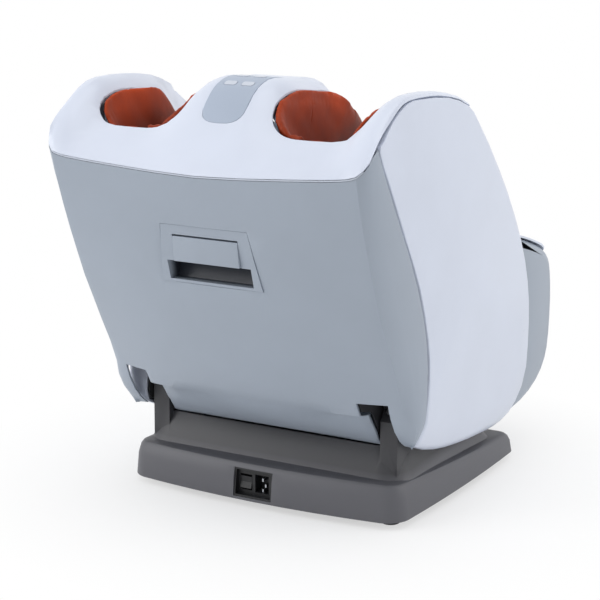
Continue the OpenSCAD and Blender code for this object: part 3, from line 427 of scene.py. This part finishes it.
# The lining's top edge is drawn up to the rim of the well that the top cover leaves open, and its lip is
# spread to the well's wall, a slit short of it.
def liftToRim(bm, cover, values):
    lean = Matrix.Rotation(math.radians(values["lean"]), 4, "X")
    toLeg = (Matrix.Translation(values["rim"]) @ lean).inverted()
    fromLeg = toLeg.inverted()
    rimPlaces = rimPoints(cover, toLeg, values)
    topPlaces = [toLeg @ v.co for v in bm.verts
                 if (toLeg.to_3x3() @ v.normal).z > 0.5 and (toLeg @ v.co).z > -values["band"]]
    rim, top = planTree(rimPlaces), planTree(topPlaces)
    places = [toLeg @ v.co for v in bm.verts]
    ceilings = [highest(topPlaces, top, p, 0.002)[0] for p in places]
    lifts = []
    for p, ceiling in zip(places, ceilings):
        rimHeight, rimFar = highest(rimPlaces, rim, p, 0.004)
        share = clamp((p.z - ceiling + values["band"]) / values["band"])
        share *= clamp((values["near"] - rimFar) / values["fade"])
        lifts.append(max(rimHeight - values["gap"] - ceiling, 0) * share * share * (3 - 2 * share))
    lifts = evenOut(bm, lifts, values["rounds"])
    wide = max(abs(p.x) for p in topPlaces)
    deep = max(-p.y for p in topPlaces)
    for v, p, ceiling, lift in zip(bm.verts, places, ceilings, lifts):
        over = clamp((p.z + lift - ceiling - 0.001) / values["flare"])
        share = min(abs(p.x) / wide, 1) ** 4
        sideways = math.copysign((values["half"] - values["slit"] - wide) * over * share, p.x)
        share = min(max(-p.y, 0) / deep, 1) ** 4
        backward = -(values["reach"] - values["slit"] - deep) * over * share
        v.co = fromLeg @ (p + Vector((sideways, backward, lift)))
    bm.normal_update()


# Cloth settings of the sewn lining; everything that lies against the shell is held in place.
sewn = {"quality": 5, "mass": 0.3, "tension_stiffness": 8, "compression_stiffness": 8, "bending_stiffness": 2,
        "vertex_group_mass": "held", "use_pressure": True}


def inflateLining(source, values):
    bm = fineMesh(source, values["edge"])
    liftToRim(bm, nodes["top_cover"], values)
    free = [facesLeg(v.co, v.normal, values["axis"]) for v in bm.verts]
    soft = newPiece("liningDraft", bm, finish["cloth"])
    rest = [v.co.copy() for v in soft.data.vertices]
    scene = bpy.context.scene
    held = soft.vertex_groups.new(name="held")
    held.add([i for i, loose in enumerate(free) if not loose], 1.0, "REPLACE")
    cloth = soft.modifiers.new("cloth", "CLOTH")
    for key, value in sewn.items():
        setattr(cloth.settings, key, value)
    cloth.settings.uniform_pressure_force = values["pressure"]
    cloth.settings.effector_weights.gravity = 0
    cloth.point_cache.frame_start, cloth.point_cache.frame_end = 1, values["frames"]
    for step in range(1, values["frames"] + 1):
        scene.frame_set(step)
    puffed = evaluated(soft)
    soft.modifiers.clear()
    scene.frame_set(1)
    soft.data = puffed
    for v, home, loose in zip(puffed.vertices, rest, free):
        move = v.co - home
        longest = values["cap"] if loose else 0.0
        if move.length > longest:
            v.co = home + move.normalized() * longest
    bm = bmesh.new()
    bm.from_mesh(soft.data)
    bpy.data.objects.remove(soft)
    loose = [v for v, inside in zip(bm.verts, free) if inside]
    bmesh.ops.smooth_vert(bm, verts=loose, factor=0.5, use_axis_x=True, use_axis_y=True, use_axis_z=True)
    bm.normal_update()
    return bm, free


# Creases slant down the calf walls and die out along the foot.
def creaseLining(bm, free, values):
    shift = Vector((values["seed"], 0, 0))
    moves = []
    for v, inside in zip(bm.verts, free):
        slant = v.co.y * 0.7 + 0.5 * v.co.z - 0.5 * v.co.x
        fold = noise.noise(Vector((slant * 24, v.co.z * 4, v.co.x * 6)) + shift)
        fine = noise.noise(Vector((slant * 60, v.co.z * 10, v.co.x * 14)) + shift)
        height = max(0.0, 0.2 + fold) ** 1.3 * 1.5 + 0.12 * fine
        moves.append(v.normal * values["crease"] * height if inside else Vector())
    for v, move in zip(bm.verts, moves):
        v.co += move
    for face in bm.faces:
        face.smooth = True


liningMesh, liningFree = inflateLining("right_liner", lining)
creaseLining(liningMesh, liningFree, lining)
mirrored = liningMesh.copy()
bmesh.ops.scale(mirrored, vec=(-1, 1, 1), verts=mirrored.verts)
bmesh.ops.reverse_faces(mirrored, faces=mirrored.faces)
for side, bm in (("right", liningMesh), ("left", mirrored)):
    piece = newPiece(side + "Lining", bm, finish["cloth"])
    rounder = piece.modifiers.new("rounder", "SUBSURF")
    rounder.levels = rounder.render_levels = 1
    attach(piece, bodyOf(side + "_liner"))
    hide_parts(side + "_liner")
print("linings are made")


# The small dark pull lies on the arm beside the right well.
def lowerPull(node, name, drop):
    bm = bmesh.new()
    bm.from_mesh(nodes[node].data)
    bmesh.ops.remove_doubles(bm, verts=bm.verts, dist=weld)
    bmesh.ops.translate(bm, vec=drop, verts=bm.verts)
    markSharp(bm, 32)
    piece = newPiece(name, bm, finish["black"])
    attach(piece, bodyOf(node))
    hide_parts(node)


lowerPull("zip_pull", "zipPull", (0.002, 0.002, -0.009))

# Camera as in the photograph, and lamps: place, size in metres, power in watts, all aimed at the body.
lens = {"place": (1.0547, -1.9420, 0.7620), "back": (0.4767, -0.8479, 0.2322), "focal": 102.27, "sensor": 36.0}
studio = {"sky": (0.95, 0.97, 1.0), "skyLight": 0.5, "aim": (0, 0, 0.3)}
lamps = {"keyLamp": ((-2.5, -2.2, 1.9), 2.4, 56), "topLamp": ((0.3, -0.2, 3.4), 2.6, 30),
         "fillLamp": ((2.9, 1.3, 1.7), 2.0, 26), "toeLamp": ((0.4, 3.0, 1.4), 2.0, 4)}
floorPiece = {"half": 6, "tone": (0.96, 0.98), "near": 0.2, "far": 0.5, "least": 0.55}


def addCamera(values):
    data = bpy.data.cameras.new("camera")
    data.lens, data.sensor_width, data.sensor_fit = values["focal"], values["sensor"], "HORIZONTAL"
    data.clip_start, data.clip_end = 0.05, 60
    camera = bpy.data.objects.new("camera", data)
    bpy.context.scene.collection.objects.link(camera)
    back = Vector(values["back"]).normalized()
    right = Vector((0, 0, 1)).cross(back).normalized()
    turn = Matrix((right, back.cross(right), back)).transposed().to_4x4()
    camera.matrix_world = Matrix.Translation(values["place"]) @ turn
    bpy.context.scene.camera = camera


def addLamp(name, place, aim, size, power):
    data = bpy.data.lights.new(name, "AREA")
    data.shape, data.size, data.energy = "SQUARE", size, power
    lamp = bpy.data.objects.new(name, data)
    bpy.context.scene.collection.objects.link(lamp)
    back = (Vector(place) - Vector(aim)).normalized()
    lamp.matrix_world = Matrix.Translation(place) @ back.to_track_quat("Z", "Y").to_matrix().to_4x4()


# 1 for what the camera, a reflection or a clear part sees, 0 for light that falls on the object.
def seenOnly(mat):
    path = addNode(mat, "LightPath")
    total = path.outputs["Is Camera Ray"]
    for ray in ("Is Glossy Ray", "Is Transmission Ray"):
        both = addNode(mat, "Math", {"operation": "MAXIMUM"})
        link(mat, total, both.inputs[0])
        link(mat, path.outputs[ray], both.inputs[1])
        total = both.outputs[0]
    return total


def makeWorld(values):
    world = bpy.data.worlds.new("studio")
    bpy.context.scene.world = world
    world.use_nodes = True
    world.node_tree.nodes.clear()
    out = addNode(world, "OutputWorld")
    soft = addNode(world, "Background", Color=(*values["sky"], 1), Strength=values["skyLight"])
    white = addNode(world, "Background", Color=(1, 1, 1, 1), Strength=1.0)
    mix = addNode(world, "MixShader")
    link(world, seenOnly(world), mix.inputs[0])
    link(world, soft.outputs[0], mix.inputs[1])
    link(world, white.outputs[0], mix.inputs[2])
    link(world, mix.outputs[0], out.inputs[0])


# Pale floor that keeps the shadow near the object and melts into the white backdrop farther out.
def makeFloor(values):
    bm = bmesh.new()
    bmesh.ops.create_grid(bm, x_segments=2, y_segments=2, size=values["half"])
    mat, shader = newMaterial("paleFloor")
    point = objectPoint(mat)
    dull, bright = ((tone,) * 3 for tone in values["tone"])
    link(mat, tint(mat, spotted(mat, point, 4, 3), [(0.3, dull), (0.7, bright)]), shader.inputs["Base Color"])
    shader.inputs["Roughness"].default_value = 0.9
    far = addNode(mat, "VectorMath", {"operation": "LENGTH"}, Vector=point).outputs["Value"]
    fade = addNode(mat, "Math", {"operation": "MULTIPLY"})
    link(mat, spread(mat, far, values["near"], values["far"], values["least"], 1), fade.inputs[0])
    link(mat, seenOnly(mat), fade.inputs[1])
    glow = addNode(mat, "Emission", Color=(1, 1, 1, 1), Strength=1.0)
    mix = addNode(mat, "MixShader")
    link(mat, fade.outputs[0], mix.inputs[0])
    link(mat, shader.outputs[0], mix.inputs[1])
    link(mat, glow.outputs[0], mix.inputs[2])
    out = [n for n in mat.node_tree.nodes if n.type == "OUTPUT_MATERIAL"][0]
    link(mat, mix.outputs[0], out.inputs[0])
    newPiece("floor", bm, mat)


addCamera(lens)
for name, (place, size, power) in lamps.items():
    addLamp(name, place, studio["aim"], size, power)
makeWorld(studio)
makeFloor(floorPiece)
bpy.context.scene.view_settings.view_transform = "Standard"
print("stage is set")
